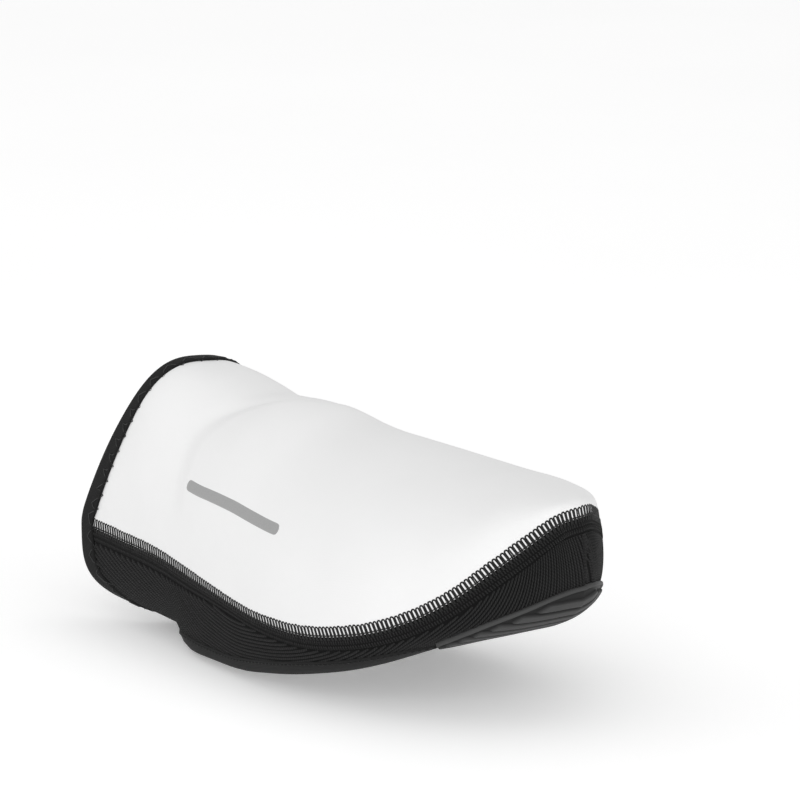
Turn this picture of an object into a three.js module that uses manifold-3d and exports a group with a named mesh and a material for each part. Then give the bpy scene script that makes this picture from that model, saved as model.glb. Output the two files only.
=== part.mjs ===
// Cycling toe cover for the right shoe, as it sits when it is stretched over the front of a road shoe.
// +X points to the toe, +Y to the inner side of the foot, +Z up, in millimetres. The origin is in the
// middle of the cleat opening, on the level of its lowest edge.
//
// A white laminate shell covers the toes and instep. A ribbed elastic knit band is sewn on along the
// seam, wraps under the edge of the sole and crosses below the arch as a strap. Folded tape binds the
// rear opening and the cleat opening, and a ribbed rubber patch is bonded under the toe.
import * as THREE from 'three';
import { mergeVertices } from 'three/addons/utils/BufferGeometryUtils.js';
import Module from 'manifold-3d';

const SHELL_WALL = 1.8;
const BAND_WALL = 2.0;
const SEAM_GAP = 0.8;

// Stations from the slanted rear opening to the toe tip. The seam lies at x, at half widths outer and
// inner and at heights seamOuter and seamInner. The crown line of the shell passes ridgeX, ridgeY and
// ridgeZ. The lower edge of the band lies at rimX, at half widths rimOuter and rimInner and at heights
// rimOuterZ and rimInnerZ; where both half widths are 0 the two sides meet under the arch. lift is how
// far the sole rises from there to its edge, swell how far the band bulges out below the seam, as a
// share of its reach under the foot. corner, archOuter and archInner are the squareness of the band's
// lower edge and of the shell's section on its two sides.
const COLUMNS = ['x', 'outer', 'inner', 'seamOuter', 'seamInner', 'ridgeX', 'ridgeY', 'ridgeZ', 'rimX',
  'rimOuter', 'rimInner', 'rimOuterZ', 'rimInnerZ', 'lift', 'swell', 'corner', 'archOuter', 'archInner'];
const STATIONS = [
  [-135.5, 32.0, 31.0, 35.2, 34.0, -99.0, -5.0, 94.8, -106.0, 0, 0, 3.2, 3.2, 0.5, 0, 5.0, 3.0, 2.15],
  [-121, 33.2, 31.6, 34.5, 33.0, -89.0, -4.5, 94.2, -98.0, 0, 0, 2.8, 2.8, 0.5, 0, 5.0, 2.9, 2.15],
  [-106.8, 34.6, 32.0, 33.8, 32.2, -79.5, -3.5, 92.6, -90.5, 0, 0, 2.2, 2.2, 0.5, 0, 4.7, 2.7, 2.15],
  [-92.5, 36.2, 32.5, 33.2, 31.6, -70.5, -2.0, 89.8, -84.0, 0, 0, 1.5, 1.5, 0.5, 0, 4.4, 2.5, 2.15],
  [-79, 38.1, 33.4, 32.2, 31.0, -61.0, -0.5, 86.4, -79.5, 0, 0, 0.9, 0.9, 0.6, 0, 4.2, 2.35, 2.15],
  [-66, 40.2, 34.8, 30.6, 30.4, -51.5, 0.5, 85.8, -76.4, 24.0, 18.5, 0.3, 0.3, 0.8, 0, 4.2, 2.3, 2.15],
  [-53, 42.5, 37.0, 29.0, 30.0, -41.5, 1.0, 86.2, -65.0, 35.3, 29.5, 0, 0, 1.1, 0, 3.6, 2.25, 2.15],
  [-40, 45.0, 39.8, 27.6, 30.0, -31.0, 1.0, 85.0, -47.5, 38.5, 33.3, 0, 0, 1.5, 0, 3.0, 2.2, 2.15],
  [-27, 47.3, 43.0, 26.2, 30.4, -20.5, 1.5, 82.4, -30.5, 40.5, 36.5, 0.4, 0.6, 1.8, 0, 2.7, 2.15, 2.15],
  [-14, 49.2, 46.0, 25.2, 31.4, -10.0, 2.0, 80.8, -15.5, 42.0, 39.0, 2.7, 3.0, 2.0, 0, 2.5, 2.1, 2.1],
  [0, 50.0, 48.4, 24.9, 33.2, 2.0, 2.5, 79.8, 0, 42.8, 41.2, 5.5, 6.2, 2.0, 0, 2.5, 2.1, 2.1],
  [14, 49.6, 49.6, 25.4, 36.2, 15.0, 3.0, 78.8, 14.0, 42.2, 41.6, 8.6, 10.0, 2.0, 0.02, 2.5, 2.1, 2.1],
  [28, 47.8, 49.4, 27.5, 40.5, 28.5, 3.5, 77.6, 27.5, 39.8, 39.8, 12.0, 14.6, 2.0, 0.05, 2.5, 2.1, 2.1],
  [42, 44.0, 47.6, 31.0, 46.0, 42.0, 4.5, 76.4, 40.0, 35.4, 35.8, 16.2, 19.2, 2.5, 0.1, 2.6, 2.1, 2.1],
  [55, 38.0, 43.5, 36.5, 52.5, 54.5, 5.5, 75.6, 49.5, 28.6, 29.5, 20.4, 23.0, 3.0, 0.14, 2.7, 2.15, 2.15],
  [66.8, 31.6, 34.8, 44.2, 59.0, 65.5, 6.0, 75.0, 55.0, 20.8, 22.0, 23.2, 25.2, 3.6, 0.17, 2.8, 2.25, 2.25],
  [76.5, 24.6, 25.8, 53.4, 64.8, 74.8, 6.0, 74.6, 58.8, 13.2, 14.6, 25.2, 26.6, 4.4, 0.18, 3.0, 2.4, 2.4],
  [84.2, 15.0, 16.8, 62.5, 68.6, 82.3, 5.8, 73.8, 60.7, 6.4, 8.4, 26.4, 27.2, 5.0, 0.18, 3.1, 2.5, 2.5],
  [88.2, 4.8, 10.8, 69.0, 70.9, 87.2, 5.6, 72.8, 61.4, 1.0, 4.3, 27.0, 27.3, 5.4, 0.18, 3.2, 2.6, 2.6],
  [89.6, -5.5, 5.5, 71.0, 71.0, 89.6, 5.5, 71.0, 61.6, -1.6, 1.6, 27.2, 27.2, 5.4, 0.18, 3.2, 2.6, 2.6],
];
const LAST = STATIONS.length - 1;
const CLEAT_START = 4;
const OPENING_BOW = 1.2;
const STRAP_SWEEP = 3.0;
const SWEEP_END = 8;
const CORNER_BUNCHING = 0.45;

// Soft forms that the shoe pushes up through the shell: where each is centred in plan, how far it
// reaches along and across the foot, and how high it stands.
const BUMPS = [
  { name: 'closure_dial', x: -96, y: -24, along: 13, across: 13, height: 2.5 },
  { name: 'vamp_edge', x: -48, y: -16, along: 21, across: 22, height: 2.5 },
];

const STEPS_PER_STATION = 2;
const SHELL_STEPS = 22;
const BAND_STEPS = 9;

const BINDING = {
  thickness: 1.0, fold: 1.6, edgeGap: 0.6, gap: 0.75, innerGap: 1.2, steps: 3,
  rearWidth: 7, rearInnerWidth: 4, cleatWidth: 7, cleatInnerWidth: 2.6,
};

// The rubber patch runs this many stations to each side of its centre, which lies this far past the toe
// tip. It starts rearInset in front of the cleat opening and ends at its lip, highest at the centre.
const PATCH = {
  gap: 0.45, reach: 4.65, centre: 0.3, rearInset: 7.7, endWidth: 2.4, rise: 27.4, lipCurve: 1.83, base: 0.8,
  relief: 1.1, lipWidth: 1.9, ribs: 6, ribPitch: 4.0, ribWidth: 2.4, ribInset: 2.2, ribEndGap: 3.2,
  steps: 18, plateSteps: 6,
};
const BAR_SINK = 0.5;
const BAR_TAPER = 0.36;
const BAR_MIN_STEPS = 5;
const REACH_HALVINGS = 30;

const BUMP_FOOT = 38;
const BUMP_FULL = 60;
const WALK_STEP = 0.1;
const TOE_PROBE = 0.02;
const MERGE_DISTANCE = 1e-3;

function columnAt(name, u) {
  const column = COLUMNS.indexOf(name);
  const index = Math.min(LAST - 1, Math.max(0, Math.floor(u)));
  const t = u - index;
  const value = (i) => STATIONS[Math.min(LAST, Math.max(0, i))][column];
  const [a, b, c, d] = [value(index - 1), value(index), value(index + 1), value(index + 2)];
  const slopeIn = (c - a) / 2;
  const slopeOut = (d - b) / 2;
  return ((2 * t - 3) * t * t + 1) * b + ((t - 2) * t + 1) * t * slopeIn
    + (3 - 2 * t) * t * t * c + (t - 1) * t * t * slopeOut;
}

// Where a direction meets a rounded square of unit half width: how far out and how far up.
function roundedSquare(angle, squareness) {
  const out = Math.max(0, Math.cos(angle));
  const up = Math.sin(angle);
  const size = Math.pow(Math.pow(out, squareness) + Math.pow(up, squareness), 1 / squareness);
  return [out / size, up / size];
}

// The shell from the outer seam (w = 0) over the crown (w = 0.5) to the inner seam (w = 1).
function shellCurve(u, w) {
  const outerSide = w < 0.5;
  const angle = (outerSide ? w : 1 - w) * Math.PI;
  const [spread, rise] = roundedSquare(angle, columnAt(outerSide ? 'archOuter' : 'archInner', u));
  const seamY = outerSide ? -columnAt('outer', u) : columnAt('inner', u);
  const seamZ = columnAt(outerSide ? 'seamOuter' : 'seamInner', u);
  const ridgeY = columnAt('ridgeY', u);
  const seamX = columnAt('x', u);
  const bow = OPENING_BOW * Math.max(0, 1 - u / CLEAT_START) * Math.sin(Math.PI * rise);
  return new THREE.Vector3(
    seamX + (columnAt('ridgeX', u) - seamX) * rise - bow,
    ridgeY + (seamY - ridgeY) * spread,
    seamZ + (columnAt('ridgeZ', u) - seamZ) * rise,
  );
}

// The band on one side (side = -1 outer, +1 inner) from the seam (w = 0) to its lower edge (w = 1), with
// even steps of w closer together round the edge of the sole.
function bandCurve(u, side, w) {
  const bunched = w + CORNER_BUNCHING * Math.sin(2 * Math.PI * w) / (2 * Math.PI);
  const [spread, drop] = roundedSquare(bunched * Math.PI / 2, columnAt('corner', u));
  const outerSide = side < 0;
  const seamZ = columnAt(outerSide ? 'seamOuter' : 'seamInner', u) - SEAM_GAP;
  const half = columnAt(outerSide ? 'outer' : 'inner', u);
  const rimHalf = u <= CLEAT_START ? 0 : columnAt(outerSide ? 'rimOuter' : 'rimInner', u);
  const rimX = columnAt('rimX', u);
  const sweep = 1 + STRAP_SWEEP * Math.max(0, 1 - u / SWEEP_END);
  const soleZ = columnAt(outerSide ? 'rimOuterZ' : 'rimInnerZ', u) + columnAt('lift', u) * spread;
  const reach = spread + columnAt('swell', u) * Math.sin(w * Math.PI);
  return new THREE.Vector3(
    rimX + (columnAt('x', u) - rimX) * Math.pow(reach, sweep),
    side * (rimHalf + (half - rimHalf) * reach),
    seamZ + (soleZ - seamZ) * drop,
  );
}

// The skin in three panels: 0 the outer side of the band, lower edge (w = 0) to seam, 1 the shell, and
// 2 the inner side of the band, lower edge (w = 0) to seam.
const OUTER_BAND = 0;
const SHELL = 1;
const INNER_BAND = 2;
function skin(panel, u, w) {
  if (panel === SHELL) return shellCurve(u, w);
  return bandCurve(u, panel === OUTER_BAND ? -1 : 1, 1 - w);
}

const PROBE = 0.01;
function tangents(panel, u, w) {
  const station = Math.max(PROBE, Math.min(u, LAST - PROBE));
  const across = Math.min(Math.max(w, PROBE), 1 - PROBE);
  const alongFoot = skin(panel, station, w).sub(skin(panel, station - PROBE, w)).divideScalar(PROBE);
  const round = skin(panel, station, across + PROBE).sub(skin(panel, station, across - PROBE));
  return { alongFoot, round: round.divideScalar(2 * PROBE) };
}

function panelNormal(panel, u, w) {
  const { alongFoot, round } = tangents(panel, u, w);
  const normal = alongFoot.cross(round).normalize();
  return panel === INNER_BAND ? normal.negate() : normal;
}

// Along the seam both cloths stand upright, so the normal is level there. The two sides of the band meet
// at the toe tip and under the arch, where they share one normal.
function outward(panel, u, w) {
  if (panel === SHELL) {
    const atTip = u === LAST;
    const normal = panelNormal(SHELL, u, atTip ? 0.5 : w);
    return atTip || w === 0 || w === 1 ? normal.setZ(0).normalize() : normal;
  }
  const shared = u === LAST || (w === 0 && u <= CLEAT_START);
  const normal = panelNormal(panel, u, w);
  if (shared) normal.add(panelNormal(panel === OUTER_BAND ? INNER_BAND : OUTER_BAND, u, w));
  return (w === 1 ? normal.setZ(0) : normal).normalize();
}

function bumpHeight(point) {
  const fade = THREE.MathUtils.smoothstep(point.z, BUMP_FOOT, BUMP_FULL);
  return BUMPS.reduce((sum, bump) => {
    const dx = (point.x - bump.x) / bump.along;
    const dy = (point.y - bump.y) / bump.across;
    return sum + fade * bump.height * Math.exp(-dx * dx - dy * dy);
  }, 0);
}

// A point on the finished skin, moved out along its normal by height (negative is inwards).
function surface(panel, u, w, height = 0) {
  const point = skin(panel, u, w);
  const bump = panel === SHELL ? bumpHeight(point) : 0;
  return point.addScaledVector(outward(panel, u, w), bump + height);
}

function geometryFrom(positions, triangles) {
  const geometry = new THREE.BufferGeometry();
  const numbers = positions.flatMap((point) => point.toArray());
  geometry.setAttribute('position', new THREE.Float32BufferAttribute(numbers, 3));
  geometry.setIndex(triangles.flat());
  return mergeVertices(geometry, MERGE_DISTANCE);
}

function meshFrom(name, geometry, material) {
  geometry.computeVertexNormals();
  const mesh = new THREE.Mesh(geometry, material);
  mesh.name = name;
  return mesh;
}

// Triangles for a quad, leaving out what has no area where corners fall together.
function addQuad(triangles, positions, a, b, c, d) {
  const same = (i, j) => positions[i].distanceTo(positions[j]) < MERGE_DISTANCE;
  if (!same(a, b) && !same(b, c) && !same(a, c)) triangles.push([a, b, c]);
  if (!same(a, c) && !same(c, d) && !same(a, d)) triangles.push([a, c, d]);
}

// A cloth wall between a grid of outer points and the same grid of inner points. rim lists the pairs
// of neighbouring grid points along its open edges, with the wall on the left hand side.
function clothWall(name, outer, inner, rim, material) {
  const columns = outer[0].length;
  const positions = [...outer.flat(), ...inner.flat()];
  const outside = (row, column) => row * columns + column;
  const inside = (row, column) => outer.length * columns + outside(row, column);
  const triangles = [];
  for (let row = 0; row < outer.length - 1; row += 1) {
    for (let column = 0; column < columns - 1; column += 1) {
      const corners = [[row, column], [row + 1, column], [row + 1, column + 1], [row, column + 1]];
      addQuad(triangles, positions, ...corners.map((corner) => outside(...corner)));
      addQuad(triangles, positions, ...corners.reverse().map((corner) => inside(...corner)));
    }
  }
  for (const [from, to] of rim) {
    addQuad(triangles, positions, outside(...from), outside(...to), inside(...to), inside(...from));
  }
  return meshFrom(name, geometryFrom(positions, triangles), material);
}

// A solid from closed sections, each a list of points: a closed loop of them, or a bar with two ends.
function sweptSections(sections, closed) {
  const size = sections[0].length;
  const positions = sections.flat();
  const triangles = [];
  const count = sections.length;
  for (let i = 0; i < (closed ? count : count - 1); i += 1) {
    for (let j = 0; j < size; j += 1) {
      const next = (i + 1) % count;
      const corner = (j + 1) % size;
      addQuad(triangles, positions, i * size + j, i * size + corner, next * size + corner, next * size + j);
    }
  }
  if (!closed) {
    for (let j = 1; j < size - 1; j += 1) {
      const last = (count - 1) * size;
      triangles.push([0, j + 1, j]);
      triangles.push([last, last + j, last + j + 1]);
    }
  }
  return { positions, triangles };
}

const span = (steps) => Array.from({ length: steps + 1 }, (_, i) => i / steps);
const STATION_STEPS = span(LAST * STEPS_PER_STATION).map((t) => t * LAST);

function shellMesh() {
  const grid = (height) => STATION_STEPS.map((u) => (
    span(SHELL_STEPS).map((w) => surface(SHELL, u, w, height))));
  const rim = [];
  for (let column = 0; column < SHELL_STEPS; column += 1) {
    rim.push([[0, column], [0, column + 1]]);
  }
  for (let row = 0; row < STATION_STEPS.length - 1; row += 1) {
    rim.push([[row + 1, 0], [row, 0]]);
    rim.push([[row, SHELL_STEPS], [row + 1, SHELL_STEPS]]);
  }
  const material = new THREE.MeshStandardMaterial({ color: 0xeeeeee, roughness: 0.55, metalness: 0 });
  return clothWall('upper_shell', grid(0), grid(-SHELL_WALL), rim, material);
}

// The band's stations run up the outer side to the toe tip and back along the inner side.
const BAND_STATIONS = [
  ...STATION_STEPS.map((u) => ({ panel: OUTER_BAND, u })),
  ...STATION_STEPS.slice(0, -1).reverse().map((u) => ({ panel: INNER_BAND, u })),
];

function bandMesh() {
  const grid = (height) => BAND_STATIONS.map(({ panel, u }) => (
    span(BAND_STEPS).map((w) => surface(panel, u, w, height))));
  const rim = [];
  const lastRow = BAND_STATIONS.length - 1;
  for (let column = 0; column < BAND_STEPS; column += 1) {
    rim.push([[0, column], [0, column + 1]]);
    rim.push([[lastRow, column + 1], [lastRow, column]]);
  }
  for (let row = 0; row < lastRow; row += 1) {
    rim.push([[row, BAND_STEPS], [row + 1, BAND_STEPS]]);
    const behindOpening = Math.min(BAND_STATIONS[row].u, BAND_STATIONS[row + 1].u) < CLEAT_START;
    if (!behindOpening) rim.push([[row + 1, 0], [row, 0]]);
  }
  const material = new THREE.MeshStandardMaterial({ color: 0x262626, roughness: 0.85, metalness: 0 });
  return clothWall('side_band', grid(0), grid(-BAND_WALL), rim, material);
}

// The section of folded tape round a cloth edge, as [distance in from the edge, height above the skin].
function tapeSection(width, innerWidth) {
  const { thickness, fold, edgeGap, gap, innerGap, steps } = BINDING;
  const back = -BAND_WALL - innerGap;
  const outerArm = span(steps).map((t) => t * width);
  return [
    ...outerArm.toReversed().map((distance) => [distance, gap + thickness]),
    [-fold, gap - thickness / 2],
    [-fold, back + thickness / 2],
    [0, back - thickness],
    [innerWidth, back - thickness],
    [innerWidth, back],
    [-edgeGap, back],
    [-edgeGap, gap],
    ...outerArm.slice(1).map((distance) => [distance, gap]),
  ];
}

// Walks over the skin from a point of its edge, square to that edge and away from it, and returns the
// point and normal reached at each distance. It crosses the seam where the way leads over it.
function walkFromEdge(start, edgeDirection, distances) {
  let { panel, u, w } = start;
  let normal = outward(panel, u, w);
  const heading = normal.clone().cross(edgeDirection);
  const reached = new Map([[0, { point: surface(panel, u, w), normal: normal.clone() }]]);
  let walked = 0;
  for (const distance of distances.filter((value) => value > 0)) {
    const steps = Math.ceil((distance - walked) / WALK_STEP);
    const stride = (distance - walked) / steps;
    for (let i = 0; i < steps; i += 1) {
      const { alongFoot, round } = tangents(panel, u, w);
      heading.addScaledVector(normal, -heading.dot(normal)).normalize();
      const [aa, ab, bb] = [alongFoot.dot(alongFoot), alongFoot.dot(round), round.dot(round)];
      const [ah, bh] = [alongFoot.dot(heading), round.dot(heading)];
      const area = aa * bb - ab * ab;
      u = THREE.MathUtils.clamp(u + stride * (ah * bb - bh * ab) / area, 0, LAST);
      w += stride * (bh * aa - ah * ab) / area;
      if (panel === SHELL && (w < 0 || w > 1)) {
        panel = w < 0 ? OUTER_BAND : INNER_BAND;
        w = 1;
      } else if (panel !== SHELL && w > 1) {
        w = panel === OUTER_BAND ? 0 : 1;
        panel = SHELL;
      }
      w = Math.max(0, w);
      normal = outward(panel, u, w);
    }
    walked = distance;
    reached.set(distance, { point: surface(panel, u, w), normal: normal.clone() });
  }
  return reached;
}

// Folded tape along a closed loop of edge points. Going round the loop, the cloth is on the left.
function tapeMesh(name, loop, section, material) {
  const edge = loop.map(({ panel, u, w }) => surface(panel, u, w));
  const distances = [...new Set(section.map(([distance]) => distance))].sort((a, b) => a - b);
  const sections = loop.map((start, index) => {
    const before = edge[(index + loop.length - 1) % loop.length];
    const after = edge[(index + 1) % loop.length];
    const direction = after.clone().sub(before).normalize();
    const reached = walkFromEdge(start, direction, distances);
    const beyond = direction.clone().cross(reached.get(0).normal).normalize();
    return section.map(([distance, height]) => {
      const { point, normal } = reached.get(Math.max(0, distance));
      return point.clone().addScaledVector(normal, height).addScaledVector(beyond, Math.max(0, -distance));
    });
  });
  const { positions, triangles } = sweptSections(sections, true);
  return meshFrom(name, geometryFrom(positions, triangles), material);
}

function rearBindingMesh() {
  const loop = [
    ...span(BAND_STEPS).slice(1).map((w) => ({ panel: INNER_BAND, u: 0, w })),
    ...span(SHELL_STEPS).slice(1).reverse().slice(1).map((w) => ({ panel: SHELL, u: 0, w })),
    ...span(BAND_STEPS).reverse().map((w) => ({ panel: OUTER_BAND, u: 0, w })),
  ];
  const section = tapeSection(BINDING.rearWidth, BINDING.rearInnerWidth);
  const material = new THREE.MeshStandardMaterial({ color: 0x1c1c1c, roughness: 0.8, metalness: 0 });
  return tapeMesh('opening_binding', loop, section, material);
}

function cleatBindingMesh() {
  const loop = BAND_STATIONS.filter(({ u }) => u >= CLEAT_START).slice(0, -1)
    .map(({ panel, u }) => ({ panel, u, w: 0 }));
  const section = tapeSection(BINDING.cleatWidth, BINDING.cleatInnerWidth);
  const material = new THREE.MeshStandardMaterial({ color: 0x1c1c1c, roughness: 0.75, metalness: 0 });
  return tapeMesh('cleat_opening_binding', loop, section, material);
}

// A point under the toe: a counts stations away from the tip, negative on the outer side, distance is
// measured over the skin from the cleat opening's edge, and height is above the skin.
function toePoint(a, distance, height) {
  const panel = a < 0 ? OUTER_BAND : INNER_BAND;
  const u = LAST - Math.abs(a);
  let walked = 0;
  let w = 0;
  let here = skin(panel, u, 0);
  while (w < 1) {
    const next = skin(panel, u, w + TOE_PROBE);
    const stride = next.distanceTo(here);
    if (walked + stride >= distance) {
      w += TOE_PROBE * (distance - walked) / stride;
      break;
    }
    walked += stride;
    w += TOE_PROBE;
    here = next;
  }
  return surface(panel, u, w, height);
}

function lipDistance(a) {
  const share = Math.min(1, Math.abs(a - PATCH.centre) / PATCH.reach);
  return PATCH.rearInset + PATCH.endWidth + PATCH.rise * (1 - Math.pow(share, PATCH.lipCurve));
}

// How far from the centre a rib at this distance can run before it meets the lip.
function ribReach(distance) {
  let [near, far] = [0, PATCH.reach];
  for (let i = 0; i < REACH_HALVINGS; i += 1) {
    const middle = (near + far) / 2;
    if (lipDistance(PATCH.centre + middle) > distance + PATCH.ribEndGap) near = middle;
    else far = middle;
  }
  return near;
}

function patchBar(reach, distanceAt, width, top) {
  const bottom = PATCH.gap + PATCH.base * BAR_SINK;
  const steps = Math.max(BAR_MIN_STEPS, Math.round(PATCH.steps * reach / PATCH.reach));
  const sections = span(steps).map((t) => {
    const a = PATCH.centre + reach * (2 * t - 1);
    const middle = distanceAt(a);
    return [
      [middle - width / 2, bottom], [middle + width / 2, bottom],
      [middle + width * BAR_TAPER, top], [middle - width * BAR_TAPER, top],
    ].map(([distance, height]) => toePoint(a, distance, height));
  });
  return sweptSections(sections, false);
}

function patchPlate() {
  const bottom = PATCH.gap;
  const top = PATCH.gap + PATCH.base;
  const sections = span(PATCH.steps).map((t) => {
    const a = PATCH.centre + PATCH.reach * (2 * t - 1);
    const front = lipDistance(a);
    const across = span(PATCH.plateSteps).map((s) => PATCH.rearInset + s * (front - PATCH.rearInset));
    return [
      ...across.map((distance) => toePoint(a, distance, bottom)),
      ...across.reverse().map((distance) => toePoint(a, distance, top)),
    ];
  });
  return sweptSections(sections, false);
}

async function patchMesh() {
  const wasm = await Module();
  wasm.setup();
  const solid = ({ positions, triangles }) => {
    const geometry = geometryFrom(positions, triangles);
    return new wasm.Manifold(new wasm.Mesh({
      numProp: 3,
      vertProperties: new Float32Array(geometry.attributes.position.array),
      triVerts: new Uint32Array(geometry.index.array),
    }));
  };
  const ribHeight = PATCH.gap + PATCH.base + PATCH.relief;
  let patch = solid(patchPlate());
  const lip = patchBar(PATCH.reach, (a) => lipDistance(a) - PATCH.lipWidth / 2, PATCH.lipWidth, ribHeight);
  patch = patch.add(solid(lip));
  for (let rib = 0; rib < PATCH.ribs; rib += 1) {
    const distance = PATCH.rearInset + PATCH.ribInset + rib * PATCH.ribPitch;
    patch = patch.add(solid(patchBar(ribReach(distance), () => distance, PATCH.ribWidth, ribHeight)));
  }
  const { vertProperties, triVerts } = patch.getMesh();
  const geometry = new THREE.BufferGeometry();
  geometry.setAttribute('position', new THREE.Float32BufferAttribute(vertProperties, 3));
  geometry.setIndex(Array.from(triVerts));
  const material = new THREE.MeshStandardMaterial({ color: 0x4a4a4a, roughness: 0.6, metalness: 0 });
  return meshFrom('toe_patch', geometry, material);
}

const group = new THREE.Group();
group.add(shellMesh(), bandMesh(), rearBindingMesh(), cleatBindingMesh(), await patchMesh());
export default group;
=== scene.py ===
import math

import bmesh
import bpy
import numpy as np
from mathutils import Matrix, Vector


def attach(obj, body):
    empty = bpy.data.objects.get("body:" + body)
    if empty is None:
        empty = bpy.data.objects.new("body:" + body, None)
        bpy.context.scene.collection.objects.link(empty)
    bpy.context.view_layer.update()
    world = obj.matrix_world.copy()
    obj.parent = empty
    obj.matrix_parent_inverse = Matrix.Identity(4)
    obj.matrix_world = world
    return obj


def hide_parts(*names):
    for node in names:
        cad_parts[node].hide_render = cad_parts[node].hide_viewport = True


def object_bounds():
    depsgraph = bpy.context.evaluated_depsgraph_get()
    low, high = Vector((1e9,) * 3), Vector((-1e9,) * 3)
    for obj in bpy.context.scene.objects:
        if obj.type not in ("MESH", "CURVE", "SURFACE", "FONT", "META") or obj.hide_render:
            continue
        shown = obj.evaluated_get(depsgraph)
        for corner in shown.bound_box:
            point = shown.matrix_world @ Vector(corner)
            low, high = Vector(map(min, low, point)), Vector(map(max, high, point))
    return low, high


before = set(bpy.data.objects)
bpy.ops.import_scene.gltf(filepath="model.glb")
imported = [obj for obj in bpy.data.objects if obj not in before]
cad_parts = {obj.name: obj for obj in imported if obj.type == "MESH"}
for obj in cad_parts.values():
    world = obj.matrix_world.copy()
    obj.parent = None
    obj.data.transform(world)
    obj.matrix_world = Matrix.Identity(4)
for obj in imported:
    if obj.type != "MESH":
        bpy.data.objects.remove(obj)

cad_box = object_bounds()
scene = bpy.context.scene
MM = 0.001


# The camera looks at the outer side of the cover from in front and a little above, through a long lens.
AIM = Vector((-0.0112, 0.0138, 0.0902))
AZIMUTH = math.radians(50)
ELEVATION = math.radians(11)
DISTANCE = 1.35
LENS_MM = 176.2

towards_camera = Vector((
    math.sin(AZIMUTH) * math.cos(ELEVATION),
    -math.cos(AZIMUTH) * math.cos(ELEVATION),
    math.sin(ELEVATION),
))
camera = bpy.data.objects.new("camera", bpy.data.cameras.new("camera"))
camera.data.lens = LENS_MM
camera.data.sensor_width = 36
camera.data.clip_end = 50
camera.location = AIM + towards_camera * DISTANCE
camera.rotation_euler = towards_camera.to_track_quat("Z", "Y").to_euler()
scene.collection.objects.link(camera)
scene.camera = camera
scene.view_settings.view_transform = "Standard"


# A plain pale floor under the cover, and soft light from all round, strongest from the camera's side.
# Its material, like every other, is written as sums on values.


class Value:
    """What a node gives, for sums."""

    def __init__(self, look, socket):
        self.look = look
        self.socket = socket

    def __add__(self, other):
        return self.look.math("ADD", self, other)

    def __mul__(self, other):
        return self.look.math("MULTIPLY", self, other)

    __radd__ = __add__
    __rmul__ = __mul__

    def __truediv__(self, other):
        return self.look.math("DIVIDE", self, other)


class Look:
    """One material, and the nodes round its shader."""

    def __init__(self, name, shader):
        self.material = bpy.data.materials.new(name)
        self.material.use_nodes = True
        self.tree = self.material.node_tree
        self.shader = self.tree.nodes["Principled BSDF"]
        for socket, value in shader.items():
            self.set(self.shader, socket, value)

    def set(self, node, socket, value):
        if isinstance(value, Value):
            self.tree.links.new(value.socket, node.inputs[socket])
        else:
            node.inputs[socket].default_value = value

    def node(self, kind, settings=None, inputs=None, output=0):
        made = self.tree.nodes.new("ShaderNode" + kind)
        for name, value in (settings or {}).items():
            setattr(made, name, value)
        for socket, value in (inputs or {}).items():
            self.set(made, socket, value)
        return Value(self, made.outputs[output])

    def math(self, operation, *values):
        return self.node("Math", {"operation": operation}, dict(enumerate(values)))

    def mix(self, share, a, b):
        """One colour to the other as share goes from 0 to 1."""
        settings = {"data_type": "RGBA"}
        return self.node("Mix", settings, {0: share, 6: a, 7: b}, output=2)

    def object_place(self):
        return self.node("TexCoord", output=3)

    def cloth_place(self):
        """The place on the cloth in mm: along it, and across it."""
        place = self.node("SeparateXYZ", inputs={0: self.node("UVMap", {"uv_map": "cloth"})})
        across = Value(self, place.socket.node.outputs[1])
        return place, across

    def noise(self, place, scale, detail=3.0):
        inputs = {"Vector": place, "Scale": scale, "Detail": detail}
        return self.node("TexNoise", inputs=inputs)

    def wave(self, phase):
        """0 to 1 and back as the phase grows by 1."""
        return self.math("SINE", phase * (2 * math.pi)) * 0.5 + 0.5

    def paint(self, socket, value):
        self.set(self.shader, socket, value)

    def bump(self, height, depth):
        """Relief of this depth in metres, where height goes from 0 to 1."""
        inputs = {"Height": height, "Distance": depth, "Strength": 1.0}
        self.paint("Normal", self.node("Bump", inputs=inputs))


def grey(level):
    return (level, level, level, 1)


FLOOR_SIZE = 14.0
FLOOR_GAP = 0.0006
LIGHT_AIM = Vector((0, 0, 0.04))
SOFT_BOXES = [
    # name, place in metres, width, power in watts
    ("front_box", (1.9, -2.2, 1.2), 2.2, 24),
    ("side_box", (-2.2, -1.8, 1.1), 1.8, 4),
    ("toe_box", (2.6, -0.2, 1.3), 1.6, 8),
]

bm = bmesh.new()
bmesh.ops.create_grid(bm, x_segments=1, y_segments=1, size=FLOOR_SIZE / 2)
bmesh.ops.translate(bm, verts=bm.verts, vec=(0, 0, cad_box[0].z - FLOOR_GAP))
floor = bpy.data.objects.new("floor", bpy.data.meshes.new("floor"))
bm.to_mesh(floor.data)
bm.free()
floor_look = Look("pale_floor", {
    "Roughness": 0.9, "Emission Color": grey(1.0), "Emission Strength": 0.24})
floor_look.paint("Base Color", floor_look.mix(
    floor_look.noise(floor_look.object_place(), 3.0), grey(0.90), grey(0.94)))
floor.data.materials.append(floor_look.material)
scene.collection.objects.link(floor)

for name, place, width, power in SOFT_BOXES:
    light = bpy.data.objects.new(name, bpy.data.lights.new(name, "AREA"))
    light.data.size = width
    light.data.energy = power
    light.location = place
    light.rotation_euler = (Vector(place) - LIGHT_AIM).to_track_quat("Z", "Y").to_euler()
    scene.collection.objects.link(light)

scene.world = bpy.data.worlds.new("studio")
scene.world.use_nodes = True
scene.world.node_tree.nodes["Background"].inputs["Color"].default_value = grey(1.0)
scene.world.node_tree.nodes["Background"].inputs["Strength"].default_value = 0.75


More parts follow.
